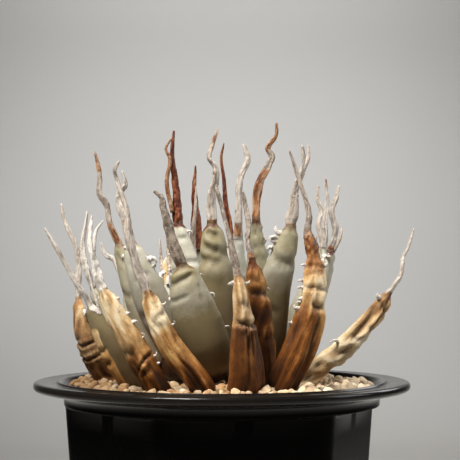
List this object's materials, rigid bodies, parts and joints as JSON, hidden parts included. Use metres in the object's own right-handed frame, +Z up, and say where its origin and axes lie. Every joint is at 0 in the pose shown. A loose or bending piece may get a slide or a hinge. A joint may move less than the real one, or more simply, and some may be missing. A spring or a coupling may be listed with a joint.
{
  "type": "potted utah agave",
  "caption": "Spiny succulent rosette of plump and dried leaves with long curling spines, standing in gravel in a round-rimmed, six-sided plant pot.",
  "frame": {"origin": "middle of the pot's foot, on the surface that it stands on", "axes": "+Z up through the pot's axis, -Y towards the side that the picture shows"},
  "size_m": [0.149, 0.1498, 0.2238],
  "materials": {
    "pot_plastic": "glossy black",
    "gravel": "matt, cream to tan grains",
    "stem": "rough, brown",
    "green_leaf": "waxy grey-green bloom",
    "dried_leaf": "dry, tan to brown",
    "bud": "smooth red-brown"
  },
  "bodies": {
    "root": {"pot": "pot_plastic", "soil": "gravel", "stem": "stem", "leaf_front_plump": "green_leaf", "leaf_front_dried": "dried_leaf", "leaf_front_right_dried": "dried_leaf", "leaf_front_left_dried": "dried_leaf", "leaf_left_front_dried": "dried_leaf", "leaf_front_brown": "dried_leaf", "leaf_front_centre": "green_leaf", "leaf_right_plump": "green_leaf", "leaf_far_left_dried": "dried_leaf", "leaf_left_grey": "green_leaf", "leaf_far_right_dried": "dried_leaf", "leaf_left_tall": "green_leaf", "leaf_left_tall_inner": "green_leaf", "leaf_centre_pale": "green_leaf", "leaf_back_right_tall": "green_leaf", "leaf_right_green": "green_leaf", "leaf_right_small": "green_leaf", "leaf_left_behind": "green_leaf", "leaf_left_low": "green_leaf", "leaf_back_left_tan": "dried_leaf", "leaf_right_back_low": "green_leaf", "leaf_right_back_middle": "green_leaf", "leaf_right_back_tall": "green_leaf", "leaf_inner_cream": "green_leaf", "leaf_inner_back": "green_leaf", "bud_spear": "bud", "bud_outer_leaf": "green_leaf", "leaf_back_outer_1": "dried_leaf", "leaf_back_outer_2": "dried_leaf", "leaf_back_outer_3": "dried_leaf", "leaf_back_outer_4": "dried_leaf", "leaf_back_outer_5": "dried_leaf", "leaf_back_outer_6": "dried_leaf", "leaf_back_outer_7": "dried_leaf", "leaf_back_middle_1": "green_leaf", "leaf_back_middle_2": "green_leaf", "leaf_back_middle_3": "green_leaf", "leaf_back_middle_4": "green_leaf", "leaf_heart_1": "green_leaf", "leaf_heart_2": "green_leaf", "leaf_heart_3": "green_leaf", "leaf_heart_4": "green_leaf"}
  },
  "joints": []
}
